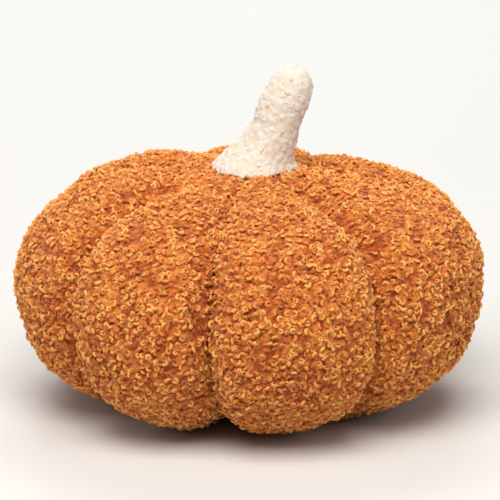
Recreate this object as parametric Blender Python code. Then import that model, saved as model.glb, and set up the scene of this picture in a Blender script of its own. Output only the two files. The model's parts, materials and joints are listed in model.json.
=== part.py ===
"""Stuffed fabric pumpkin: seven sewn gores of orange looped-pile cloth and a leaning cream stem.

Metres, +Z up. The pumpkin's front faces -Y and its stem leans towards +X. The origin is the middle
of the whole pumpkin's box, on the surface that it rests on.

Each gore is one filled solid. Outside it has the crowned cloth, drawn in at its two seams. Inside it
is closed by two upright seam walls that meet at the pumpkin's axis, like a segment of an orange.
Sizes reach to the tips of the cloth's pile.
"""
import math
from collections import namedtuple

import bmesh
import bpy
import numpy as np
from mathutils import Vector

# Driving sizes of the body
BODY_RADIUS = 0.140
CROWN_HEIGHT = 0.1435
SEAT_RADIUS = 0.0325
SEAT_HEIGHT = 0.1451
PIECE_GAP = 0.0003

# How finely a gore is modelled: faces across it, and faces from its foot to the seat's rim
COLUMNS = 14
ROWS = 38
WELD_DISTANCE = 0.00001

# How round the cloth swells between two seams: the half angle of the arc that it follows
SWELL_HALF_ANGLE = math.radians(70)

# The crown line of a gore, from the tuft underneath to the rim of the stem's seat. Radius is a share
# of the body's radius, height a share of the crown's height, and tuck is how far the seams on either
# side are drawn in. Where the line dips below zero the cloth is pressed flat on the surface.
Station = namedtuple("Station", "radius height tuck")
CROWN_LINE = (
    Station(radius=0.000, height=0.1045, tuck=0.0000),
    Station(radius=0.294, height=-0.0174, tuck=0.0022),
    Station(radius=0.480, height=-0.0056, tuck=0.0056),
    Station(radius=0.920, height=0.2117, tuck=0.0102),
    Station(radius=1.000, height=0.6458, tuck=0.0138),
    Station(radius=0.884, height=0.8215, tuck=0.0074),
    Station(radius=0.455, height=0.9917, tuck=0.0050),
)

# Where along the crown line each gore's own unevenness lies, and how far it spreads, both as shares
# of the line's length. It fades out before the seat, which is the same on all gores.
Place = namedtuple("Place", "column along spread")
UNEVEN_PLACES = (
    Place("flank", 0.36, 0.09),
    Place("side", 0.52, 0.09),
    Place("shoulder", 0.68, 0.09),
    Place("top", 0.84, 0.09),
)
SEAT_FADE = 0.08

# The gores in order round the body. The seam is the azimuth of a gore's first seam in degrees, from
# the front towards +X. The other columns are how far the gore swells out of the common crown line at
# the places above, in metres.
Gore = namedtuple("Gore", "name seam flank side shoulder top")
GORES = (
    Gore("gore_1", seam=-54.2, flank=-0.0006, side=-0.0005, shoulder=0.0000, top=0.0003),
    Gore("gore_2", seam=-11.0, flank=-0.0010, side=0.0000, shoulder=0.0000, top=0.0000),
    Gore("gore_3", seam=37.0, flank=-0.0020, side=-0.0030, shoulder=0.0060, top=0.0006),
    Gore("gore_4", seam=95.5, flank=0.0004, side=0.0008, shoulder=0.0012, top=-0.0028),
    Gore("gore_5", seam=150.5, flank=0.0010, side=-0.0010, shoulder=0.0004, top=-0.0012),
    Gore("gore_6", seam=204.2, flank=-0.0008, side=0.0006, shoulder=0.0014, top=0.0006),
    Gore("gore_7", seam=251.9, flank=-0.0028, side=-0.0042, shoulder=-0.0014, top=0.0018),
)

# The stem's middle line, from its foot to its tip: how far it leans towards +X, its height above the
# seat and its radius there.
StemRow = namedtuple("StemRow", "lean rise radius")
STEM_LINE = (
    StemRow(lean=0.0046, rise=0.0000, radius=0.0262),
    StemRow(lean=0.0046, rise=0.0018, radius=0.0248),
    StemRow(lean=0.0054, rise=0.0045, radius=0.0216),
    StemRow(lean=0.0070, rise=0.0082, radius=0.0192),
    StemRow(lean=0.0092, rise=0.0122, radius=0.0182),
    StemRow(lean=0.0118, rise=0.0169, radius=0.0171),
    StemRow(lean=0.0137, rise=0.0217, radius=0.0161),
    StemRow(lean=0.0153, rise=0.0265, radius=0.0155),
    StemRow(lean=0.0176, rise=0.0313, radius=0.0151),
    StemRow(lean=0.0203, rise=0.0361, radius=0.0148),
    StemRow(lean=0.0228, rise=0.0409, radius=0.0142),
    StemRow(lean=0.0249, rise=0.0455, radius=0.0133),
    StemRow(lean=0.0267, rise=0.0500, radius=0.0120),
    StemRow(lean=0.0277, rise=0.0533, radius=0.0103),
    StemRow(lean=0.0286, rise=0.0560, radius=0.0078),
    StemRow(lean=0.0292, rise=0.0576, radius=0.0046),
)
STEM_RINGS = 20
STEM_SIDES = 20

# Colours and finish of the two cloths (sRGB 0 to 1)
ORANGE_PILE = (0.86, 0.52, 0.25)
CREAM_PILE = (0.93, 0.89, 0.82)
PILE_ROUGHNESS = 0.95


def linear(colour):
    """An sRGB colour as the linear RGBA that a shader socket takes."""
    return tuple(((c + 0.055) / 1.055) ** 2.4 for c in colour) + (1.0,)


def cloth_material(name, colour):
    """A matt pile cloth in one colour."""
    material = bpy.data.materials.new(name)
    material.use_nodes = True
    shader = material.node_tree.nodes["Principled BSDF"]
    shader.inputs["Base Color"].default_value = linear(colour)
    shader.inputs["Roughness"].default_value = PILE_ROUGHNESS
    shader.inputs["Metallic"].default_value = 0.0
    material.diffuse_color = linear(colour)
    return material


def spline_through(rows, at):
    """A natural cubic spline through the rows, whose first two columns are a place in a plane.

    at holds shares of the way along the line, measured from row to row. Returns one row for each.
    """
    rows = np.array(rows, dtype=float)
    knots = np.concatenate([[0.0], np.cumsum(np.hypot(*np.diff(rows[:, :2], axis=0).T))])
    knots /= knots[-1]
    step = np.diff(knots)
    rise = np.diff(rows, axis=0) / step[:, None]
    system = np.eye(len(knots))
    right = np.zeros_like(rows)
    for i in range(1, len(knots) - 1):
        system[i, i - 1:i + 2] = step[i - 1], 2 * (step[i - 1] + step[i]), step[i]
        right[i] = 6 * (rise[i] - rise[i - 1])
    bend = np.linalg.solve(system, right)
    k = np.clip(np.searchsorted(knots, at, side="right") - 1, 0, len(step) - 1)
    before = (np.asarray(at) - knots[k])[:, None]
    after = (knots[k + 1] - np.asarray(at))[:, None]
    width = step[k][:, None]
    curved = (bend[k] * after ** 3 + bend[k + 1] * before ** 3) / (6 * width)
    return (curved + (rows[k] / width - bend[k] * width / 6) * after
            + (rows[k + 1] / width - bend[k + 1] * width / 6) * before)


def crown_line():
    """The common crown line as rows of (along, radius, height, tuck, outward radius, outward height).

    The last row is the middle of the stem's flat seat, on the axis.
    """
    stations = [(s.radius * BODY_RADIUS, s.height * CROWN_HEIGHT, s.tuck) for s in CROWN_LINE]
    stations.append((SEAT_RADIUS, SEAT_HEIGHT, 0.0))
    along = np.linspace(0.0, 1.0, ROWS)
    line = spline_through(stations, along)
    small = 1e-4
    ahead = spline_through(stations, np.minimum(along + small, 1.0))
    behind = spline_through(stations, np.maximum(along - small, 0.0))
    direction = (ahead - behind)[:, :2]
    direction /= np.hypot(direction[:, 0], direction[:, 1])[:, None]
    rows = [(s, r, z, max(tuck, 0.0), dz, -dr) for s, (r, z, tuck), (dr, dz) in zip(along, line, direction)]
    rows.append((1.0, 0.0, SEAT_HEIGHT, 0.0, 0.0, 1.0))
    return rows


def own_swell(gore, along):
    """How far the gore stands out of the common crown line at this share of its length."""
    swell = sum(getattr(gore, place.column) * math.exp(-((along - place.along) / place.spread) ** 2)
                for place in UNEVEN_PLACES)
    return swell * min(1.0, (1.0 - along) / SEAT_FADE)


def cloth_point(gore, half_width, row, across):
    """A point of the gore's cloth, with the gore's middle facing -Y. across runs from -1 to 1."""
    along, radius, height, tuck, out_radius, out_height = row
    bow = (math.cos(SWELL_HALF_ANGLE * across) - math.cos(SWELL_HALF_ANGLE)) / (1 - math.cos(SWELL_HALF_ANGLE))
    out = own_swell(gore, along) * bow - tuck * (1 - bow)
    azimuth = half_width * math.sin(SWELL_HALF_ANGLE * across) / math.sin(SWELL_HALF_ANGLE)
    radius += out * out_radius
    height = max(height + out * out_height, 0.0)
    return Vector((radius * math.sin(azimuth), -radius * math.cos(azimuth), height))


def gore_mesh(gore, half_width, line):
    """The gore's closed solid: its cloth, an edge down the axis, and a flat wall behind each seam."""
    bm = bmesh.new()
    bmesh.ops.create_grid(bm, x_segments=COLUMNS, y_segments=ROWS, size=1.0)
    for vert in bm.verts:
        row = line[round((vert.co.y + 1) / 2 * ROWS)]
        vert.co = cloth_point(gore, half_width, row, vert.co.x)
    bmesh.ops.remove_doubles(bm, verts=bm.verts, dist=WELD_DISTANCE)

    on_axis = sorted((v for v in bm.verts if v.co.xy.length < WELD_DISTANCE), key=lambda v: v.co.z)
    axis = bm.edges.new((on_axis[0], on_axis[-1]))
    rims = [e for e in bm.edges if e.is_boundary]
    walls = []
    for side in (-1, 1):
        rim = [e for e in rims if side * sum(v.co.x for v in e.verts) > 0]
        walls += bmesh.ops.contextual_create(bm, geom=rim + [axis])["faces"]
    bmesh.ops.triangulate(bm, faces=walls)
    bmesh.ops.recalc_face_normals(bm, faces=bm.faces)
    mesh = bpy.data.meshes.new(gore.name)
    bm.to_mesh(mesh)
    bm.free()
    mesh.shade_smooth()
    mesh.set_sharp_from_angle(angle=math.radians(50))
    return mesh


def build_gores(collection, material):
    """Each gore as its own object, turned to its place and set out so that the walls stand apart."""
    line = crown_line()
    seams = [gore.seam for gore in GORES] + [GORES[0].seam + 360]
    for gore, first, second in zip(GORES, seams, seams[1:]):
        middle = math.radians((first + second) / 2)
        half_width = math.radians((second - first) / 2)
        mesh = gore_mesh(gore, half_width, line)
        mesh.materials.append(material)
        body = bpy.data.objects.new(gore.name, mesh)
        set_out = PIECE_GAP / 2 / math.sin(half_width)
        body.rotation_euler.z = middle
        body.location = (set_out * math.sin(middle), -set_out * math.cos(middle), 0.0)
        collection.objects.link(body)


def build_stem(collection, material):
    """The stem as a tube that tapers and leans, with a flat foot on the seat and a closed tip."""
    rings = spline_through(STEM_LINE, np.linspace(0.0, 1.0, STEM_RINGS))
    rings[1, 0] = rings[0, 0]
    curve = bpy.data.curves.new("stem", "CURVE")
    curve.dimensions = "3D"
    curve.bevel_depth = 1.0
    curve.bevel_resolution = STEM_SIDES // 2 - 2
    curve.use_fill_caps = True
    spline = curve.splines.new("POLY")
    spline.points.add(STEM_RINGS - 1)
    for point, (lean, rise, radius) in zip(spline.points, rings):
        point.co = (lean, 0.0, rise, 1.0)
        point.radius = radius
    curve.materials.append(material)
    stem = bpy.data.objects.new("stem", curve)
    stem.location.z = SEAT_HEIGHT + PIECE_GAP
    weld = stem.modifiers.new("close the caps", "WELD")
    weld.merge_threshold = WELD_DISTANCE
    collection.objects.link(stem)


def centre_on_box(objects):
    """Move everything so that the origin is the middle of the whole box, at its underside.

    The stem stays well inside the gores' box, so the gores alone give its middle.
    """
    bpy.context.view_layer.update()
    points = np.array([obj.matrix_world @ vert.co for obj in objects if obj.type == "MESH"
                       for vert in obj.data.vertices])
    middle = (points.min(axis=0) + points.max(axis=0)) / 2
    for obj in objects:
        obj.location.x -= middle[0]
        obj.location.y -= middle[1]


def main():
    for obj in list(bpy.data.objects):
        bpy.data.objects.remove(obj, do_unlink=True)
    collection = bpy.data.collections.new("fabric_pumpkin")
    bpy.context.scene.collection.children.link(collection)
    build_gores(collection, cloth_material("orange looped pile cloth", ORANGE_PILE))
    build_stem(collection, cloth_material("cream pile cloth", CREAM_PILE))
    centre_on_box(list(collection.objects))


if __name__ == "__main__":
    main()
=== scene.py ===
"""A stuffed fabric pumpkin: seven gores of curly orange pile cloth and a leaning cream stem, in a studio."""

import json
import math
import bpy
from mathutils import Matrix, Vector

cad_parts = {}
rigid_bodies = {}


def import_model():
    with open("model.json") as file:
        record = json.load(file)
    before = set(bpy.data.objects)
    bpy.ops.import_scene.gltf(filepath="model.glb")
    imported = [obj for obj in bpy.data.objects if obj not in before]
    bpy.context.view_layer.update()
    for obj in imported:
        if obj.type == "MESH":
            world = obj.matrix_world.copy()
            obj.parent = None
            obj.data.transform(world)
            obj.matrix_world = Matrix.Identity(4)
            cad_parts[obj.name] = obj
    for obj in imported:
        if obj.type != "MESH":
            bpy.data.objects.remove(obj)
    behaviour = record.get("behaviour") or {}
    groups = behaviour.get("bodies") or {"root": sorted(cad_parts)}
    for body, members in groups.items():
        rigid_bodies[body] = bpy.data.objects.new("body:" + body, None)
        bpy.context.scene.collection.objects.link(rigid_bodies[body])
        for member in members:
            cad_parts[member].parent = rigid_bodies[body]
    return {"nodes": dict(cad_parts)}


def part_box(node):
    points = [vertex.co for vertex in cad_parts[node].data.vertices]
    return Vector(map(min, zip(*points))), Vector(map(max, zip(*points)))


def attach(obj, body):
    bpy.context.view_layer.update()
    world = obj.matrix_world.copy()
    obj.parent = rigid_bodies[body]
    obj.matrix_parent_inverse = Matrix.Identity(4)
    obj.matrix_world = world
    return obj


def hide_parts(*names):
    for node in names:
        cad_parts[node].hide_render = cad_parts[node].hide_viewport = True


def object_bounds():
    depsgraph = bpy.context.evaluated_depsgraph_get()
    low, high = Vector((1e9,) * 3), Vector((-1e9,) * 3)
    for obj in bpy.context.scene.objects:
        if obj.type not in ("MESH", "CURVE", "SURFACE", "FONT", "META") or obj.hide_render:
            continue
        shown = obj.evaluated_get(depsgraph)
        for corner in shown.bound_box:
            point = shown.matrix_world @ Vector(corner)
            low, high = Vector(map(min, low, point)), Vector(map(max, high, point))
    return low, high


bl_info = {
    "name": "Fabric Pumpkin",
    "version": (1, 0, 0),
    "blender": (4, 5, 0),
    "location": "3D View > Sidebar > Pumpkin",
    "description": "Stuffed cloth, curly pile and studio stage for a fabric pumpkin",
    "category": "Mesh",
}

import bmesh
import bpy
import numpy as np
from bpy.props import FloatProperty, FloatVectorProperty, IntProperty, PointerProperty
from mathutils import Matrix, Vector, noise

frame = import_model()
CAD_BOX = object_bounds()
BODY = "root"
GORES = sorted(name for name in frame["nodes"] if name.startswith("gore_"))
STEM = "stem"

# Copying and sewing the ground cloth. The walls are the flat sides on which two gores meet.
MERGE_DISTANCE = 1e-5
AXIS_CLEARANCE = 0.03
WALL_REACH = 0.0012
WALL_FACING = 0.88
WALL_FLATNESS = math.radians(8)
PINNED = "pinned"
PILE_MASK = "pile"
TINY = 1e-9

# Lumps of stuffing: how far from the walls they have their full height, and how far apart two seeds lie
LUMP_MARGIN = 0.02
LUMP_STEPS = (7.31, 3.17, 5.71)

# The stem's foot, and the waist on its left side: how high it lies and how far it fades up and down
FOOT_HEIGHT = 0.010
WAIST_HEIGHT = 0.014
WAIST_UP = 0.022
WAIST_DOWN = 0.008
STEM_LEAN = 0.5
STEM_RADIUS = 0.015
UNDERSIDE = -0.8

# Seams: how far from the axis they start and are fully drawn in, how far from the body's middle they have
# just the depth they are given, and where the cloth's rounded edges are closed up to the stitches
SEAM_START = 0.031
SEAM_FULL = 0.060
SEAM_REACH = 0.12
STITCH_GAP = 0.0005
EDGE_ROUND = 0.009

# Nubs: the share of a cell that is gap, the width of a clump in cells, how far a clump closes its gaps
# and how narrow they get, and how far apart two seeds lie
NUB_GAP = 0.42
NUB_CLUMP = 2.2
NUB_MERGING = 1.4
NARROWEST = 0.2
NUB_STEPS = (4.73, 8.19, 2.87)
# The ground cloth's least height above the floor
CLOTH_REST = 0.0008

# Standing the curls: points tried on each spacing squared, the heights between which the pile goes from
# its sparsest share to full, how far a curl is sunk or raised by chance, and its smallest and largest scale
POINTS_TRIED = 6.0
SPARSE_HEIGHT = 0.1
FULL_HEIGHT = 0.5
SPARSEST = 0.6
SUNK = -0.0002
RAISED = 0.0005
SMALLEST = 0.8
LARGEST = 1.15
# How far a curl's middle stands off the cloth: in yarn widths on the body, in metres on the stem
BODY_STAND = 0.1
STEM_STAND = -0.0012
# Seeds of the piles: the gores' lie this far apart
SEED_STEP = 100
STEM_SEED = 900

# Curls under the pumpkin are pressed flat: heights from LOWEST to PRESSED_UP_TO become FLOOR_REST and up
LOWEST = -0.001
PRESSED_UP_TO = 0.003
FLOOR_REST = 0.0001

# Curl attributes that the yarn's materials read; height and crown say where they paint shade, in the gaps and
# on a curl's low parts
TINT = "tint"
HEIGHT = "height"
CROWN = "crown"
CELL = "cell"
CURL_MAP = "OFBake"
MAP_MARGIN = 0.06


def hex_colour(text):
    """A linear RGBA colour from an sRGB hex value such as E39A52."""
    parts = [int(text[i : i + 2], 16) / 255 for i in (0, 2, 4)]
    linear = [c / 12.92 if c <= 0.04045 else ((c + 0.055) / 1.055) ** 2.4 for c in parts]
    return (*linear, 1.0)


def add_node(tree, kind, inputs=None, **settings):
    """Adds one node, sets its properties, and links or sets its inputs by name or number."""
    node = tree.nodes.new(kind)
    for name, value in settings.items():
        setattr(node, name, value)
    for key, value in (inputs or {}).items():
        if isinstance(value, bpy.types.NodeSocket):
            tree.links.new(value, node.inputs[key])
        else:
            node.inputs[key].default_value = value
    return node


class PUMPKIN_PG_cloth(bpy.types.PropertyGroup):
    """The stuffed ground cloth that carries the pile."""

    pile_depth: FloatProperty(
        name="Pile depth",
        description="From the ground cloth to the tips of the curls",
        default=0.0034,
        unit="LENGTH",
    )
    stem_pile_depth: FloatProperty(
        name="Stem pile depth",
        description="From the stem's ground cloth to the tips of its curls",
        default=0.0010,
        unit="LENGTH",
    )
    cloth_cell: FloatProperty(
        name="Cloth cell",
        description="Size of the remeshed cloth's squares on the gores",
        default=0.007,
        unit="LENGTH",
    )
    stem_cell: FloatProperty(
        name="Stem cell",
        description="Size of the remeshed cloth's squares on the stem",
        default=0.0026,
        unit="LENGTH",
    )
    foot_sink: FloatProperty(
        name="Foot sink",
        description="How far the stem's foot is sewn down into the pile of the body",
        default=0.0074,
        unit="LENGTH",
    )
    stem_waist: FloatProperty(
        name="Stem waist",
        description="How far the stem's left side is drawn in above its foot",
        default=0.0060,
        unit="LENGTH",
    )
    foot_flare: FloatProperty(
        name="Foot flare",
        description="How far the stem's foot is spread where it is sewn on",
        default=0.0068,
        unit="LENGTH",
    )
    pressure: FloatProperty(
        name="Stuffing pressure",
        description="How hard the stuffing presses the cloth outwards",
        default=4.0,
    )
    swell: FloatProperty(
        name="Swell",
        description="The furthest that the stuffing may move the cloth of the body",
        default=0.0016,
        unit="LENGTH",
    )
    stem_swell: FloatProperty(
        name="Stem swell",
        description="The furthest that the stuffing may move the cloth of the stem",
        default=0.0006,
        unit="LENGTH",
    )
    swell_frames: IntProperty(
        name="Swell frames",
        description="Frames of cloth simulation",
        default=20,
    )
    lump_size: FloatProperty(
        name="Lump size",
        description="Width of the soft lumps that hand stuffing leaves",
        default=0.030,
        unit="LENGTH",
    )
    lump_height: FloatProperty(
        name="Lump height",
        description="How far the lumps stand in or out",
        default=0.0012,
        unit="LENGTH",
    )
    seam_depth: FloatProperty(
        name="Seam depth",
        description="How far the stitches draw the pile cloth in along a seam",
        default=0.0125,
        unit="LENGTH",
    )
    seam_width: FloatProperty(
        name="Seam width",
        description="How far from a seam its stitches still draw the cloth in",
        default=0.0088,
        unit="LENGTH",
    )
    # The pile that the stitches hold down also gets the gaps' painted shade, so the seams are drawn darker
    stitch_width: FloatProperty(
        name="Stitch width",
        description="How far from a seam its stitches hold the pile down",
        default=0.0020,
        unit="LENGTH",
    )
    nub_size: FloatProperty(
        name="Nub size",
        description="Width of the nubs in which the loops of the pile gather",
        default=0.0052,
        unit="LENGTH",
    )
    nub_depth: FloatProperty(
        name="Nub depth",
        description="How far a nub stands above the gaps around it",
        default=0.0014,
        unit="LENGTH",
    )
    stem_nub_depth: FloatProperty(
        name="Stem nub depth",
        description="How far a nub of the stem stands above the gaps around it",
        default=0.0008,
        unit="LENGTH",
    )


class PUMPKIN_PG_pile(bpy.types.PropertyGroup):
    """The looped yarn that makes the curls."""

    curl_width: FloatProperty(
        name="Curl width",
        description="Outer width of a curl of the body",
        default=0.0046,
        unit="LENGTH",
    )
    yarn_width: FloatProperty(
        name="Yarn width",
        description="Thickness of the yarn in a curl of the body",
        default=0.0019,
        unit="LENGTH",
    )
    stem_curl_width: FloatProperty(
        name="Stem curl width",
        description="Outer width of a curl of the stem",
        default=0.0038,
        unit="LENGTH",
    )
    stem_yarn_width: FloatProperty(
        name="Stem yarn width",
        description="Thickness of the yarn in a curl of the stem",
        default=0.0015,
        unit="LENGTH",
    )
    spacing: FloatProperty(
        name="Spacing",
        description="Least distance between the roots of the body's curls",
        default=0.00284,
        unit="LENGTH",
    )
    stem_spacing: FloatProperty(
        name="Stem spacing",
        description="Least distance between the roots of the stem's curls",
        default=0.0021,
        unit="LENGTH",
    )
    tilt: FloatProperty(
        name="Tilt",
        description="The most that a curl leans out of the cloth's plane",
        default=math.radians(38),
        subtype="ANGLE",
    )
    stem_tilt: FloatProperty(
        name="Stem tilt",
        description="The most that a curl of the stem leans out of the cloth's plane",
        default=math.radians(6),
        subtype="ANGLE",
    )


class PUMPKIN_PG_stage(bpy.types.PropertyGroup):
    """Floor, lights and camera."""

    floor_radius: FloatProperty(
        name="Floor radius",
        description="Radius of the round floor",
        default=3.0,
        unit="LENGTH",
    )
    camera_place: FloatVectorProperty(
        name="Camera place",
        description="Where the camera stands",
        default=(0.0003, -2.3893, 0.7372),
        subtype="TRANSLATION",
    )
    camera_target: FloatVectorProperty(
        name="Camera target",
        description="The point in the middle of the picture",
        default=(0.0007, -0.0005, 0.0921),
        subtype="TRANSLATION",
    )
    focal_length: FloatProperty(
        name="Focal length",
        description="Focal length on a 36 mm wide sensor, in millimetres",
        default=302.0,
    )


def coordinates(mesh):
    """The mesh's vertices as an array with a row for each."""
    found = np.empty(len(mesh.vertices) * 3, np.float32)
    mesh.vertices.foreach_get("co", found)
    return found.reshape(-1, 3).astype(float)


def set_coordinates(mesh, places):
    """Moves the mesh's vertices to the rows of an array."""
    mesh.vertices.foreach_set("co", places.astype(np.float32).ravel())
    mesh.update()


def node_points(name):
    """The vertices of a CAD node as an array."""
    return coordinates(frame["nodes"][name].data)


def pumpkin_axis():
    """The upright line where the gores meet, from the corner of each that lies nearest the middle."""
    corners = []
    for name in GORES:
        flat = node_points(name)[:, :2]
        corners.append(flat[np.argmin(np.hypot(*flat.T))])
    return np.mean(corners, axis=0)


AXIS = pumpkin_axis()


def gore_sector(name):
    """The azimuth of a gore's middle and half its angle, read from its two flat walls."""
    flat = node_points(name)[:, :2] - AXIS
    reach = np.hypot(*flat.T)
    flat = flat[reach > AXIS_CLEARANCE] / reach[reach > AXIS_CLEARANCE, None]
    rough = math.atan2(*flat.mean(axis=0)[::-1])
    turn = np.angle(np.exp(1j * (np.arctan2(flat[:, 1], flat[:, 0]) - rough)))
    return rough + (turn.max() + turn.min()) / 2, (turn.max() - turn.min()) / 2


def round_the_axis(points, middle):
    """Each point's distance from the axis, and its turn about it from the azimuth middle."""
    flat = points[:, :2] - AXIS
    return np.hypot(*flat.T), np.angle(np.exp(1j * (np.arctan2(flat[:, 1], flat[:, 0]) - middle)))


def wall_distance(points, sector):
    """How far each point of a gore is from the nearer of its two flat walls."""
    middle, half = sector
    reach, turn = round_the_axis(points, middle)
    return reach * np.sin(np.clip(half - np.abs(turn), -math.pi / 2, math.pi / 2))


def new_piece(name, mesh):
    """Links a mesh to the scene as an object at the origin."""
    piece = bpy.data.objects.new(name, mesh)
    bpy.context.scene.collection.objects.link(piece)
    return piece


def merged_copy(node):
    """A bmesh with the CAD node's loose triangles merged into one closed body."""
    bm = bmesh.new()
    bm.from_mesh(frame["nodes"][node].data)
    bmesh.ops.remove_doubles(bm, verts=bm.verts, dist=MERGE_DISTANCE)
    return bm


def apply_modifiers(piece):
    """Replaces the piece's mesh with the one that its modifiers make, and takes them off."""
    depsgraph = bpy.context.evaluated_depsgraph_get()
    made = bpy.data.meshes.new_from_object(
        piece.evaluated_get(depsgraph), preserve_all_data_layers=True, depsgraph=depsgraph
    )
    old = piece.data
    piece.modifiers.clear()
    piece.data = made
    made.name = piece.name
    bpy.data.meshes.remove(old)


def add_modifier(piece, kind, **settings):
    """Adds one modifier with its settings."""
    modifier = piece.modifiers.new(kind.title(), kind)
    for name, value in settings.items():
        setattr(modifier, name, value)
    return modifier


def remesh(piece, cell):
    """Turns the piece's faces into even squares for the cloth simulation."""
    add_modifier(piece, "REMESH", mode="VOXEL", voxel_size=cell, use_smooth_shade=True)
    apply_modifiers(piece)


def stuff(pieces, cloth, swell):
    """Presses each piece's cloth outwards with simulated stuffing, all in one run, no move over swell."""
    starts = [coordinates(piece.data) for piece in pieces]
    for piece in pieces:
        settings = add_modifier(piece, "CLOTH").settings
        settings.use_pressure = True
        settings.uniform_pressure_force = cloth.pressure
        settings.effector_weights.gravity = 0
        if PINNED in piece.vertex_groups:
            settings.vertex_group_mass = PINNED
    for number in range(1, cloth.swell_frames + 1):
        bpy.context.scene.frame_set(number)
    depsgraph = bpy.context.evaluated_depsgraph_get()
    ends = [coordinates(piece.evaluated_get(depsgraph).data) for piece in pieces]
    for piece, start, end in zip(pieces, starts, ends):
        piece.modifiers.clear()
        move = end - start
        length = np.linalg.norm(move, axis=1, keepdims=True)
        move *= np.minimum(1, swell / np.maximum(length, TINY))
        set_coordinates(piece.data, start + move)
    bpy.context.scene.frame_set(1)


def raise_lumps(piece, share, cloth, seed):
    """Moves the cloth in and out by soft lumps. share is how much of a lump each vertex takes."""
    mesh = piece.data
    offset = Vector([seed * step for step in LUMP_STEPS])
    lumps = np.array([noise.noise(v.co / cloth.lump_size + offset) for v in mesh.vertices])
    normals = np.array([v.normal for v in mesh.vertices])
    places = coordinates(mesh) + normals * (lumps * share * cloth.lump_height)[:, None]
    set_coordinates(mesh, places)


def draw_in_seams(mesh, sector, middle, cloth):
    """Draws the cloth in towards the middle along the gore's two seams, its rounded edges up to the stitches.

    Returns how free each vertex is of the stitches, which hold the pile down close to the seam. The pile held
    down there also takes the painted shade of the gaps.
    """
    places = coordinates(mesh)
    away = wall_distance(places, sector)
    reach, turn = round_the_axis(places, sector[0])
    out = np.clip((reach - SEAM_START) / (SEAM_FULL - SEAM_START), 0, 1)
    inside = np.clip((away - STITCH_GAP) / EDGE_ROUND, 0, 1)
    close = inside * (1 - inside) * EDGE_ROUND * np.clip(reach / SEAM_START, 0, 1)
    turn += np.sign(turn) * close / np.maximum(reach, SEAM_START)
    places[:, 0] = AXIS[0] + reach * np.cos(sector[0] + turn)
    places[:, 1] = AXIS[1] + reach * np.sin(sector[0] + turn)
    share = np.exp(-((away / cloth.seam_width) ** 2)) * out
    places = middle + (places - middle) * (1 - share * cloth.seam_depth / SEAM_REACH)[:, None]
    set_coordinates(mesh, places)
    return 1 - np.exp(-((away / cloth.stitch_width) ** 2)) * out


def raise_nubs(mesh, free, size, depth, seed):
    """Gathers the cloth's loops in nubs with narrow gaps, and notes how high each vertex stands in them: the
    pile grows sparser where it is low, and the materials paint shade there.

    free says, from 0 to 1, how far a vertex may stand: the stitches hold the pile down along a seam.
    """
    offset = Vector([seed * step for step in NUB_STEPS])
    heights = np.empty(len(mesh.vertices))
    for number, vert in enumerate(mesh.vertices):
        near, next_near = noise.voronoi(vert.co / size + offset)[0][:2]
        merged = noise.noise(vert.co / (size * NUB_CLUMP) + offset)
        gap = NUB_GAP * min(1, max(NARROWEST, 1 - NUB_MERGING * merged))
        heights[number] = min(1, (next_near - near) / gap)
    heights = heights * heights * (3 - 2 * heights) * free
    normals = np.array([v.normal for v in mesh.vertices])
    places = coordinates(mesh) + normals * (heights * depth)[:, None]
    places[:, 2] = np.maximum(places[:, 2], CLOTH_REST)
    set_coordinates(mesh, places)
    mesh.attributes.new(HEIGHT, "FLOAT", "POINT").data.foreach_set("value", heights.astype(np.float32))


def join_walls(mesh, walls):
    """Joins the small faces of the flat walls, which lie hidden between the gores, into large ones."""
    bm = bmesh.new()
    bm.from_mesh(mesh)
    inner = [edge for edge in bm.edges if all(walls[face.index] for face in edge.link_faces)]
    verts = [vert for vert in bm.verts if all(walls[face.index] for face in vert.link_faces)]
    bmesh.ops.dissolve_limit(bm, angle_limit=WALL_FLATNESS, verts=verts, edges=inner)
    bm.to_mesh(mesh)
    bm.free()


def mark_pile(mesh, carries):
    """Marks the faces that carry pile."""
    mask = mesh.attributes.new(PILE_MASK, "FLOAT", "FACE")
    mask.data.foreach_set("value", carries.astype(np.float32))


def split_cells(mesh):
    """Cuts each cell that carries pile in four, so that the cloth is fine enough for its nubs."""
    bm = bmesh.new()
    bm.from_mesh(mesh)
    carries = bm.faces.layers.float[PILE_MASK]
    edges = [edge for edge in bm.edges if any(face[carries] > 0.5 for face in edge.link_faces)]
    bmesh.ops.subdivide_edges(bm, edges=edges, cuts=1, use_grid_fill=True)
    bm.to_mesh(mesh)
    bm.free()


def face_values(mesh, name):
    """The centres or normals of the mesh's faces as an array."""
    found = np.empty(len(mesh.polygons) * 3, np.float32)
    mesh.polygons.foreach_get(name, found)
    return found.reshape(-1, 3).astype(float)


def colour_ramp(tree, value, *stops):
    """A colour for each value between 0 and 1. Each stop is a position and an sRGB hex value."""
    ramp = add_node(tree, "ShaderNodeValToRGB", {"Fac": value})
    elements = ramp.color_ramp.elements
    for place, _ in stops[1:-1]:
        elements.new(place)
    for element, (place, text) in zip(elements, stops):
        element.position = place
        element.color = hex_colour(text)
    return ramp.outputs["Color"]


def multiply(tree, first, second):
    """Two colours multiplied."""
    both = {"Factor": 1.0, 6: first, 7: second}
    return add_node(tree, "ShaderNodeMix", both, data_type="RGBA", blend_type="MULTIPLY").outputs[2]


def pile_colours(tree, colours, tint):
    """The pile's colour: lighter or deeper by tint, and darker and richer with painted shade on a curl's low
    parts and in the gaps between nubs.
    """
    height = add_node(tree, "ShaderNodeAttribute", attribute_name=HEIGHT).outputs["Fac"]
    crown = add_node(tree, "ShaderNodeAttribute", attribute_name=CROWN).outputs["Fac"]
    lot = colour_ramp(tree, tint, (0, colours["deep"]), (0.5, colours["yarn"]), (1, colours["tip"]))
    # Painted shade: darkest at the bottom of a gap between nubs and along the seams, where the cloth lies low
    gap = colour_ramp(tree, height, (0, colours["shade"]), (GAP_SHADE_MIDDLE, colours["root"]), (GAP_SHADE_END, WHITE))
    # Painted shade on a curl's low parts, by its crown value
    low = colour_ramp(tree, crown, (0, colours["low"]), (LOW_SHADE_END, WHITE))
    return multiply(tree, multiply(tree, lot, gap), low)


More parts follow.
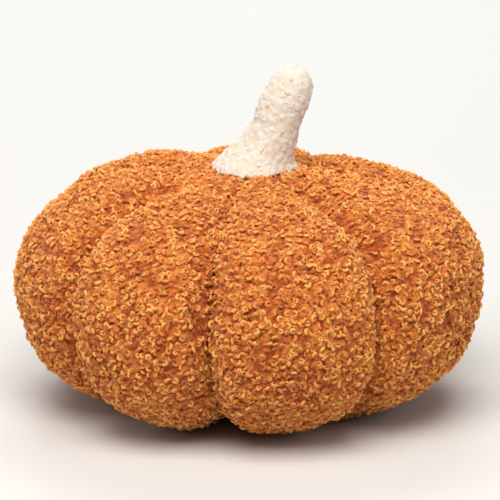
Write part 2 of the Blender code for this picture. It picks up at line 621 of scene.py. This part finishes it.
def soft_pile(name, colours, glow, reach):
    """A matt polyester pile that light enters: glow is the share that does, and reach how far it travels."""
    material = bpy.data.materials.new(name)
    material.use_nodes = True
    shader = material.node_tree.nodes["Principled BSDF"]
    shader.inputs["Roughness"].default_value = PILE_ROUGHNESS
    shader.inputs["Sheen Weight"].default_value = PILE_SHEEN
    shader.inputs["Sheen Roughness"].default_value = SHEEN_ROUGHNESS
    shader.inputs["Sheen Tint"].default_value = hex_colour(colours["bloom"])
    shader.inputs["Subsurface Weight"].default_value = glow
    shader.inputs["Subsurface Radius"].default_value = hex_colour(colours["glow"])[:3]
    shader.inputs["Subsurface Scale"].default_value = reach
    return material


def ground_cloth(name, colours, glow, reach, loop_width, relief):
    """Knitted polyester ground with its lowest loops: matt and fuzzy, its gaps between nubs darkened with
    painted shade.

    The loops that lie too deep to be modelled are drawn as rings, one to each cell of loop_width, in bump and
    in colour: deeper in tone, as painted shade, in a ring's hole and between rings.
    """
    material = soft_pile(name, colours, glow, reach)
    tree = material.node_tree
    shader = tree.nodes["Principled BSDF"]
    place = add_node(tree, "ShaderNodeTexCoord").outputs["Object"]
    cells = add_node(tree, "ShaderNodeTexVoronoi", {"Vector": place, "Scale": 1 / loop_width})
    ring = add_node(
        tree, "ShaderNodeMath", {0: cells.outputs["Distance"], 1: RING_MIDDLE}, operation="PINGPONG"
    )
    # A ring's yarn is lighter, its hole and the gaps between rings deeper in tone: painted shade
    tint = add_node(
        tree, "ShaderNodeMapRange", {"Value": ring.outputs[0], "From Max": RING_MIDDLE, "To Max": RING_TINT}
    )
    tree.links.new(pile_colours(tree, colours, tint.outputs[0]), shader.inputs["Base Color"])
    bump = add_node(
        tree,
        "ShaderNodeBump",
        {"Height": ring.outputs[0], "Distance": loop_width, "Strength": relief},
    )
    tree.links.new(bump.outputs["Normal"], shader.inputs["Normal"])
    return material


def boucle_yarn(name, colours, glow, reach, relief):
    """Crimped polyester boucle yarn: matt and hairy, no two curls of quite the same colour, with painted
    shade on their low parts and where they stand in a gap.
    """
    material = soft_pile(name, colours, glow, reach)
    tree = material.node_tree
    shader = tree.nodes["Principled BSDF"]
    tint = add_node(tree, "ShaderNodeAttribute", attribute_name=TINT)
    tree.links.new(pile_colours(tree, colours, tint.outputs["Fac"]), shader.inputs["Base Color"])
    place = add_node(tree, "ShaderNodeTexCoord").outputs["Object"]
    fibres = add_node(tree, "ShaderNodeTexNoise", {"Vector": place, "Scale": 1 / FIBRE_CRIMP, "Detail": 2.0})
    bump = add_node(
        tree,
        "ShaderNodeBump",
        {"Height": fibres.outputs["Fac"], "Distance": FIBRE_CRIMP / 2, "Strength": relief},
    )
    tree.links.new(bump.outputs["Normal"], shader.inputs["Normal"])
    return material


# The yarns' colours. root and shade are painted shade: they darken the others halfway down a gap and at its
# bottom. low is painted shade too, and darkens them where a curl meets the cloth.
ORANGE = {
    "tip": "F1AB5A",
    "yarn": "EBA04D",
    "deep": "E19040",
    "root": "EED6BC",
    "shade": "BC8660",
    "low": "E8CAAC",
    "glow": "F0A878",
    "bloom": "F6CFA8",
}
CREAM = {
    "tip": "DED9D3",
    "yarn": "DDD7CF",
    "deep": "DAD3CA",
    "root": "FFFDFA",
    "shade": "FDF7EE",
    "low": "FFFBF6",
    "glow": "FFFAF2",
    "bloom": "FFF8EE",
}
WHITE = "FFFFFF"
# Heights in a gap at which the painted shade root and the yarn's own colour are reached, and the part of a
# curl that the painted shade low fills
GAP_SHADE_MIDDLE = 0.4
GAP_SHADE_END = 0.85
LOW_SHADE_END = 0.8
# Fine fibres with no gloss, and a soft bloom where they are seen from the side
PILE_ROUGHNESS = 0.9
PILE_SHEEN = 0.3
SHEEN_ROUGHNESS = 0.5
# Share of the light that enters the fibres, and how far it travels there
BODY_GLOW = (0.4, 0.003)
STEM_GLOW = (0.6, 0.0008)
# The low loops' width against a curl of the body, where a loop's yarn lies in its cell, and its lightest
# tint; a loop's hole and its cell's edge get the deepest tint, as painted shade
LOW_LOOP = 0.6
RING_MIDDLE = 0.4
RING_TINT = 0.8
# The crimp of the fibres, drawn coarser than the real 0.1 mm because that is too fine to show
FIBRE_CRIMP = 0.0004
# How strongly the bump of the loops and of the fibres shows
ORANGE_LOOP_RELIEF = 0.8
ORANGE_YARN_RELIEF = 0.6
CREAM_LOOP_RELIEF = 0.12
CREAM_YARN_RELIEF = 0.15

# The curls: degrees of yarn in each, width against the usual curl, and height of the crown in yarn widths
CURL_SHAPES = (
    (345, 0.8, 0.9),
    (290, 1.0, 0.8),
    (230, 1.2, 1.0),
    (390, 0.85, 1.1),
)
# Sides of the yarn and steps along a curl
BODY_YARN = (4, 5)
STEM_YARN = (4, 6)
# How thin a curl's ends are, how far it is sunk against its rise, and how much of the crown's value comes
# from its place along the yarn, the rest being its height. The crown value says where a curl's low parts get
# painted shade.
END_WIDTH = 0.6
CROWN_SINK = 0.6
CROWN_SHARE = 0.5


def curl_mesh(name, turn, width, rise, sizes, fineness):
    """One curl: a length of yarn bent round by turn degrees, its crown rise yarn widths above its two ends.

    sizes are the curl's width and its yarn's, and fineness gives the yarn's sides and the steps along it.
    The ends are thinner, and lie in the ground cloth.
    """
    curl_width, yarn_width = sizes
    sides, steps = fineness
    yarn = yarn_width / 2
    ring = (curl_width / 2 - yarn) * width
    bm = bmesh.new()
    crown = bm.verts.layers.float.new(CROWN)
    bmesh.ops.create_circle(bm, cap_ends=True, segments=sides, radius=yarn)
    bmesh.ops.rotate(bm, verts=bm.verts, matrix=Matrix.Rotation(math.radians(90), 3, "X"))
    bmesh.ops.translate(bm, verts=bm.verts, vec=(ring, 0, 0))
    rings = [list(bm.verts)]
    grown = bm.verts[:] + bm.edges[:] + bm.faces[:]
    for _ in range(steps):
        angle = math.radians(turn) / steps
        grown = bmesh.ops.spin(bm, geom=grown, axis=(0, 0, 1), angle=angle, steps=1)["geom_last"]
        rings.append([item for item in grown if isinstance(item, bmesh.types.BMVert)])
    # crown is low near the ends and the cloth, where the materials paint shade
    for number, verts in enumerate(rings):
        height = math.sin(math.pi * number / steps)
        bmesh.ops.translate(bm, verts=verts, vec=(0, 0, rise * yarn_width * (height - CROWN_SINK)))
        for vert in verts:
            vert[crown] = height * CROWN_SHARE + (1 - CROWN_SHARE) * (0.5 + vert.co.z / curl_width)
    for verts in (rings[0], rings[-1]):
        middle = sum((vert.co for vert in verts), Vector()) / len(verts)
        bmesh.ops.scale(bm, vec=(END_WIDTH,) * 3, space=Matrix.Translation(-middle), verts=verts)
    bmesh.ops.remove_doubles(bm, verts=bm.verts, dist=MERGE_DISTANCE)
    bmesh.ops.recalc_face_normals(bm, faces=bm.faces)
    squares = bm.loops.layers.uv.new(CURL_MAP)
    side = math.ceil(math.sqrt(len(bm.faces)))
    corners = ((0, 0), (1, 0), (1, 1), (0, 1))
    for number, face in enumerate(bm.faces):
        face.smooth = True
        for loop, (x, y) in zip(face.loops, corners):
            across = (number % side + MAP_MARGIN + x * (1 - 2 * MAP_MARGIN)) / side
            up = (number // side + MAP_MARGIN + y * (1 - 2 * MAP_MARGIN)) / side
            loop[squares].uv = (across, up)
    mesh = bpy.data.meshes.new(name)
    bm.to_mesh(mesh)
    bm.free()
    return mesh


def random_number(tree, low, high, seed, kind="FLOAT"):
    """A random number for each point, between low and high."""
    first, output = {"FLOAT": (2, 1), "INT": (4, 2), "FLOAT_VECTOR": (0, 0)}[kind]
    node = add_node(
        tree,
        "FunctionNodeRandomValue",
        {first: low, first + 1: high, "Seed": seed},
        data_type=kind,
    )
    return node.outputs[output]


def pile_nodes(name, curls, spacing, tilt, stand, seed):
    """Geometry nodes that stand curls all over the marked faces of a ground cloth."""
    tree = bpy.data.node_groups.new(name, "GeometryNodeTree")
    tree.interface.new_socket("Cloth", in_out="INPUT", socket_type="NodeSocketGeometry")
    tree.interface.new_socket("Pile", in_out="OUTPUT", socket_type="NodeSocketGeometry")
    cloth = add_node(tree, "NodeGroupInput").outputs[0]
    mask = add_node(tree, "GeometryNodeInputNamedAttribute", {"Name": PILE_MASK}, data_type="FLOAT")
    carries = add_node(
        tree, "FunctionNodeCompare", {0: mask.outputs["Attribute"], 1: 0.5}, operation="GREATER_THAN"
    )
    place = add_node(tree, "GeometryNodeInputPosition").outputs[0]
    height = add_node(tree, "GeometryNodeInputNamedAttribute", {"Name": HEIGHT}, data_type="FLOAT")
    crowding = add_node(
        tree,
        "ShaderNodeMapRange",
        {
            "Value": height.outputs["Attribute"],
            "From Min": SPARSE_HEIGHT,
            "From Max": FULL_HEIGHT,
            "To Min": SPARSEST,
        },
    )
    roots = add_node(
        tree,
        "GeometryNodeDistributePointsOnFaces",
        {
            "Mesh": cloth,
            "Selection": carries.outputs[0],
            "Distance Min": spacing,
            "Density Max": POINTS_TRIED / spacing**2,
            "Density Factor": crowding.outputs[0],
            "Seed": seed,
        },
        distribute_method="POISSON",
    )
    scatter = add_node(
        tree,
        "ShaderNodeMath",
        {0: stand, 1: random_number(tree, SUNK, RAISED, seed + 1)},
        operation="ADD",
    )
    offset = add_node(
        tree,
        "ShaderNodeVectorMath",
        {0: roots.outputs["Normal"], "Scale": scatter.outputs[0]},
        operation="SCALE",
    )
    raised = add_node(
        tree, "GeometryNodeSetPosition", {"Geometry": roots.outputs["Points"], "Offset": offset.outputs[0]}
    )
    lean = random_number(
        tree,
        (-tilt, -tilt, -math.pi),
        (tilt, tilt, math.pi),
        seed + 2,
        "FLOAT_VECTOR",
    )
    leaning = add_node(tree, "FunctionNodeEulerToRotation", {"Euler": lean})
    turned = add_node(
        tree,
        "FunctionNodeRotateRotation",
        {"Rotation": roots.outputs["Rotation"], "Rotate By": leaning.outputs[0]},
        rotation_space="LOCAL",
    )
    shapes = add_node(tree, "GeometryNodeJoinGeometry")
    for curl in curls:
        single = add_node(tree, "GeometryNodeObjectInfo", {"Object": curl, "As Instance": True})
        tree.links.new(single.outputs["Geometry"], shapes.inputs[0])
    placed = add_node(
        tree,
        "GeometryNodeInstanceOnPoints",
        {
            "Points": raised.outputs[0],
            "Instance": shapes.outputs[0],
            "Pick Instance": True,
            "Instance Index": random_number(tree, 0, len(curls) - 1, seed + 3, "INT"),
            "Rotation": turned.outputs[0],
            "Scale": random_number(tree, SMALLEST, LARGEST, seed + 4),
        },
    )
    number = add_node(tree, "GeometryNodeInputIndex").outputs[0]
    numbered = add_node(
        tree,
        "GeometryNodeStoreNamedAttribute",
        {"Geometry": placed.outputs[0], "Name": CELL, "Value": number},
        data_type="INT",
        domain="INSTANCE",
    )
    tinted = add_node(
        tree,
        "GeometryNodeStoreNamedAttribute",
        {
            "Geometry": numbered.outputs[0],
            "Name": TINT,
            "Value": random_number(tree, 0.0, 1.0, seed + 5),
        },
        data_type="FLOAT",
        domain="INSTANCE",
    )
    joined = add_node(tree, "GeometryNodeRealizeInstances", {"Geometry": tinted.outputs[0]})
    split = add_node(tree, "ShaderNodeSeparateXYZ", {0: place})
    pressed = add_node(
        tree,
        "ShaderNodeMapRange",
        {
            "Value": split.outputs["Z"],
            "From Min": LOWEST,
            "From Max": PRESSED_UP_TO,
            "To Min": FLOOR_REST,
            "To Max": PRESSED_UP_TO,
        },
        clamp=True,
    )
    level = add_node(
        tree,
        "ShaderNodeMath",
        {0: split.outputs["Z"], 1: pressed.outputs[0]},
        operation="MAXIMUM",
    )
    rested = add_node(
        tree,
        "ShaderNodeCombineXYZ",
        {"X": split.outputs["X"], "Y": split.outputs["Y"], "Z": level.outputs[0]},
    )
    standing = add_node(
        tree, "GeometryNodeSetPosition", {"Geometry": joined.outputs[0], "Position": rested.outputs[0]}
    )
    add_node(tree, "NodeGroupOutput", {0: standing.outputs[0]})
    return tree


def lay_out_map(mesh):
    """Moves each curl's squares to a cell of its own in the piece's map."""
    cells = np.empty(len(mesh.vertices), np.int32)
    mesh.attributes[CELL].data.foreach_get("value", cells)
    corner_vertex = np.empty(len(mesh.loops), np.int32)
    mesh.loops.foreach_get("vertex_index", corner_vertex)
    cell = cells[corner_vertex]
    side = math.ceil(math.sqrt(cells.max() + 1))
    layer = mesh.uv_layers[CURL_MAP]
    places = np.empty(len(mesh.loops) * 2, np.float32)
    layer.uv.foreach_get("vector", places)
    places = (places.reshape(-1, 2) + np.stack([cell % side, cell // side], 1)) / side
    layer.uv.foreach_set("vector", places.astype(np.float32).ravel())
    mesh.attributes.remove(mesh.attributes[CELL])


def grow_pile(cloth_piece, name, sizes, fineness, spacing, tilt, stand, material, seed):
    """A piece with all the curls of one ground cloth, joined. stand is how far their middles stand off it."""
    curls = []
    for number, shape in enumerate(CURL_SHAPES):
        mesh = curl_mesh(f"curl_{number}", *shape, sizes, fineness)
        curls.append(new_piece(mesh.name, mesh))
    piece = new_piece(name, cloth_piece.data.copy())
    tree = pile_nodes(name, curls, spacing, tilt, stand, seed)
    add_modifier(piece, "NODES", node_group=tree)
    apply_modifiers(piece)
    for curl in curls:
        bpy.data.objects.remove(curl)
    bpy.data.node_groups.remove(tree)
    lay_out_map(piece.data)
    piece.data.materials.clear()
    piece.data.materials.append(material)
    return piece


class PUMPKIN_OT_cover_body(bpy.types.Operator):
    """Sew and stuff the seven gores of the body's ground cloth"""

    bl_idname = "pumpkin.cover_body"
    bl_label = "Sew and stuff the body"

    def execute(self, context):
        cloth = context.scene.pumpkin_cloth
        pieces = []
        middle = Vector((*AXIS, (CAD_BOX[0].z + max(node_points(n)[:, 2].max() for n in GORES)) / 2))
        flat_scale = 1 - cloth.pile_depth / ((CAD_BOX[1].x - CAD_BOX[0].x) / 2)
        tall_scale = 1 - cloth.pile_depth / middle.z
        for name in GORES:
            bm = merged_copy(name)
            bmesh.ops.scale(
                bm,
                vec=(flat_scale, flat_scale, tall_scale),
                space=Matrix.Translation(-middle),
                verts=bm.verts,
            )
            mesh = bpy.data.meshes.new(f"{name}_cloth")
            bm.to_mesh(mesh)
            bm.free()
            piece = new_piece(f"{name}_cloth", mesh)
            remesh(piece, cloth.cloth_cell)
            group = piece.vertex_groups.new(name=PINNED)
            near = wall_distance(coordinates(piece.data), gore_sector(name)) < WALL_REACH
            group.add(np.flatnonzero(near).tolist(), 1.0, "REPLACE")
            pieces.append(piece)
        stuff(pieces, cloth, cloth.swell)
        loop = LOW_LOOP * context.scene.pumpkin_pile.curl_width
        material = ground_cloth("knitted_polyester_orange", ORANGE, *BODY_GLOW, loop, ORANGE_LOOP_RELIEF)
        for seed, (name, piece) in enumerate(zip(GORES, pieces)):
            piece.vertex_groups.clear()
            add_modifier(piece, "SUBSURF", levels=1, render_levels=1)
            apply_modifiers(piece)
            sector = gore_sector(name)
            depth = wall_distance(coordinates(piece.data), sector)
            raise_lumps(piece, np.clip(depth / LUMP_MARGIN, 0, 1), cloth, seed + 1)
            middle_turn, half = sector
            normals = face_values(piece.data, "normal")
            outward = [middle_turn + half + math.pi / 2, middle_turn - half - math.pi / 2]
            facing = np.max([normals[:, :2] @ (math.cos(a), math.sin(a)) for a in outward], axis=0)
            near = wall_distance(face_values(piece.data, "center"), sector) < WALL_REACH
            walls = near & (facing > WALL_FACING)
            mark_pile(piece.data, ~walls)
            join_walls(piece.data, walls)
            split_cells(piece.data)
            free = draw_in_seams(piece.data, sector, np.array(middle), cloth)
            raise_nubs(piece.data, free, cloth.nub_size, cloth.nub_depth, seed + 1)
            piece.data.materials.clear()
            piece.data.materials.append(material)
            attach(piece, BODY)
            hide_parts(name)
        return {"FINISHED"}


class PUMPKIN_OT_body_pile(bpy.types.Operator):
    """Grow the orange curls on the seven gores"""

    bl_idname = "pumpkin.body_pile"
    bl_label = "Grow the body's pile"

    def execute(self, context):
        pile = context.scene.pumpkin_pile
        material = boucle_yarn("polyester_boucle_orange", ORANGE, *BODY_GLOW, ORANGE_YARN_RELIEF)
        for number, name in enumerate(GORES):
            piece = grow_pile(
                bpy.data.objects[f"{name}_cloth"],
                f"{name}_pile",
                (pile.curl_width, pile.yarn_width),
                BODY_YARN,
                pile.spacing,
                pile.tilt,
                BODY_STAND * pile.yarn_width,
                material,
                SEED_STEP * (number + 1),
            )
            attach(piece, BODY)
        return {"FINISHED"}


class PUMPKIN_OT_cover_stem(bpy.types.Operator):
    """Sew and stuff the stem's ground cloth"""

    bl_idname = "pumpkin.cover_stem"
    bl_label = "Sew and stuff the stem"

    def execute(self, context):
        cloth = context.scene.pumpkin_cloth
        bm = merged_copy(STEM)
        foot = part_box(STEM)[0].z
        low = [vert for vert in bm.verts if vert.co.z < foot + FOOT_HEIGHT]
        middle = sum((vert.co for vert in low), Vector()) / len(low)
        for vert in low:
            share = (1 - (vert.co.z - foot) / FOOT_HEIGHT) ** 2
            out = Vector((vert.co.x - middle.x, vert.co.y - middle.y, 0))
            if out.length > FOOT_HEIGHT:
                vert.co += out.normalized() * cloth.foot_flare * share
            vert.co.z -= cloth.foot_sink * share
        for vert in bm.verts:
            above = vert.co.z - foot - WAIST_HEIGHT
            share = math.exp(-((above / (WAIST_UP if above > 0 else WAIST_DOWN)) ** 2))
            left = max(0, middle.x + above * STEM_LEAN - vert.co.x) / STEM_RADIUS
            vert.co.x += cloth.stem_waist * share * min(1, left)
        mesh = bpy.data.meshes.new("stem_cloth")
        bm.to_mesh(mesh)
        bm.free()
        piece = new_piece("stem_cloth", mesh)
        add_modifier(piece, "DISPLACE", strength=-cloth.stem_pile_depth, mid_level=0.0)
        apply_modifiers(piece)
        remesh(piece, cloth.stem_cell)
        stuff([piece], cloth, cloth.stem_swell)
        add_modifier(piece, "SUBSURF", levels=1, render_levels=1)
        apply_modifiers(piece)
        mark_pile(piece.data, face_values(piece.data, "normal")[:, 2] > UNDERSIDE)
        free = np.ones(len(piece.data.vertices))
        raise_nubs(piece.data, free, cloth.nub_size, cloth.stem_nub_depth, len(GORES) + 1)
        piece.data.materials.clear()
        loop = LOW_LOOP * context.scene.pumpkin_pile.curl_width
        material = ground_cloth("knitted_polyester_cream", CREAM, *STEM_GLOW, loop, CREAM_LOOP_RELIEF)
        piece.data.materials.append(material)
        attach(piece, BODY)
        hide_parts(STEM)
        return {"FINISHED"}


class PUMPKIN_OT_stem_pile(bpy.types.Operator):
    """Grow the cream curls on the stem"""

    bl_idname = "pumpkin.stem_pile"
    bl_label = "Grow the stem's pile"

    def execute(self, context):
        pile = context.scene.pumpkin_pile
        material = boucle_yarn("polyester_boucle_cream", CREAM, *STEM_GLOW, CREAM_YARN_RELIEF)
        piece = grow_pile(
            bpy.data.objects["stem_cloth"],
            "stem_pile",
            (pile.stem_curl_width, pile.stem_yarn_width),
            STEM_YARN,
            pile.stem_spacing,
            pile.stem_tilt,
            STEM_STAND,
            material,
            STEM_SEED,
        )
        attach(piece, BODY)
        return {"FINISHED"}


def area_light(name, place, target, width, energy, colour):
    """A soft square light that faces a target."""
    data = bpy.data.lights.new(name, "AREA")
    data.size = width
    data.energy = energy
    data.color = hex_colour(colour)[:3]
    light = bpy.data.objects.new(name, data)
    light.location = place
    light.rotation_euler = (Vector(target) - Vector(place)).to_track_quat("-Z", "Y").to_euler()
    bpy.context.scene.collection.objects.link(light)


# The floor is matt white paper: pale, even and without gloss
FLOOR_SIDES = 64
PAPER_COLOUR = "DAD9D7"
PAPER_ROUGHNESS = 0.9
STUDIO_LIGHT = 0.15
SENSOR_WIDTH = 36.0
# The softboxes: place, target, width, watts and colour. The one behind lights mostly the floor.
SOFTBOXES = {
    "key_softbox": ((-0.1, -1.05, 1.75), (0, 0, 0.07), 1.5, 50.5, "FFFCF6"),
    "back_softbox": ((0.0, 1.5, 1.4), (0, 1.0, 0), 1.2, 22.0, "FFFFFF"),
    "left_fill": ((-1.4, -0.7, 0.9), (0, 0, 0.1), 0.8, 3.8, "FFFFFF"),
    "right_fill": ((1.4, -0.7, 0.9), (0, 0, 0.1), 0.8, 3.8, "FFFFFF"),
}


class PUMPKIN_OT_set_stage(bpy.types.Operator):
    """Set the floor, the lights and the camera"""

    bl_idname = "pumpkin.set_stage"
    bl_label = "Set the stage"

    def execute(self, context):
        stage = context.scene.pumpkin_stage
        bm = bmesh.new()
        bmesh.ops.create_circle(bm, cap_ends=True, segments=FLOOR_SIDES, radius=stage.floor_radius)
        mesh = bpy.data.meshes.new("floor")
        bm.to_mesh(mesh)
        bm.free()
        floor = new_piece("floor", mesh)
        paper = bpy.data.materials.new("matt_white_paper")
        paper.use_nodes = True
        shader = paper.node_tree.nodes["Principled BSDF"]
        shader.inputs["Base Color"].default_value = hex_colour(PAPER_COLOUR)
        shader.inputs["Roughness"].default_value = PAPER_ROUGHNESS
        floor.data.materials.append(paper)
        world = bpy.data.worlds.new("studio")
        world.use_nodes = True
        background = world.node_tree.nodes["Background"]
        background.inputs["Color"].default_value = hex_colour(WHITE)
        background.inputs["Strength"].default_value = STUDIO_LIGHT
        context.scene.world = world
        for name, (place, target, width, energy, colour) in SOFTBOXES.items():
            area_light(name, place, target, width, energy, colour)
        camera_data = bpy.data.cameras.new("camera")
        camera_data.sensor_width = SENSOR_WIDTH
        camera_data.lens = stage.focal_length
        camera = bpy.data.objects.new("camera", camera_data)
        place = Vector(stage.camera_place)
        camera.location = place
        camera.rotation_euler = (Vector(stage.camera_target) - place).to_track_quat("-Z", "Y").to_euler()
        context.scene.collection.objects.link(camera)
        context.scene.camera = camera
        context.scene.view_settings.view_transform = "Standard"
        return {"FINISHED"}


class PUMPKIN_PT_build(bpy.types.Panel):
    """Sizes of the pumpkin's cloth and pile, and the steps that build it"""

    bl_label = "Fabric Pumpkin"
    bl_idname = "PUMPKIN_PT_build"
    bl_space_type = "VIEW_3D"
    bl_region_type = "UI"
    bl_category = "Pumpkin"

    def draw(self, context):
        for title, owner in SETTINGS.items():
            box = self.layout.box()
            box.label(text=title.replace("_", " ").capitalize())
            settings = getattr(context.scene, title)
            for name in owner.__annotations__:
                box.prop(settings, name)
        for operator in STEPS:
            self.layout.operator(operator.bl_idname)


SETTINGS = {
    "pumpkin_cloth": PUMPKIN_PG_cloth,
    "pumpkin_pile": PUMPKIN_PG_pile,
    "pumpkin_stage": PUMPKIN_PG_stage,
}
STEPS = (
    PUMPKIN_OT_cover_body,
    PUMPKIN_OT_body_pile,
    PUMPKIN_OT_cover_stem,
    PUMPKIN_OT_stem_pile,
    PUMPKIN_OT_set_stage,
)
CLASSES = (*SETTINGS.values(), *STEPS, PUMPKIN_PT_build)


def register():
    for cls in CLASSES:
        bpy.utils.register_class(cls)
    for name, cls in SETTINGS.items():
        setattr(bpy.types.Scene, name, PointerProperty(type=cls))


def unregister():
    for name in SETTINGS:
        delattr(bpy.types.Scene, name)
    for cls in reversed(CLASSES):
        bpy.utils.unregister_class(cls)


def main():
    register()
    bpy.ops.pumpkin.cover_body()
    bpy.ops.pumpkin.body_pile()
    bpy.ops.pumpkin.cover_stem()
    bpy.ops.pumpkin.stem_pile()
    bpy.ops.pumpkin.set_stage()


if __name__ == "__main__":
    main()
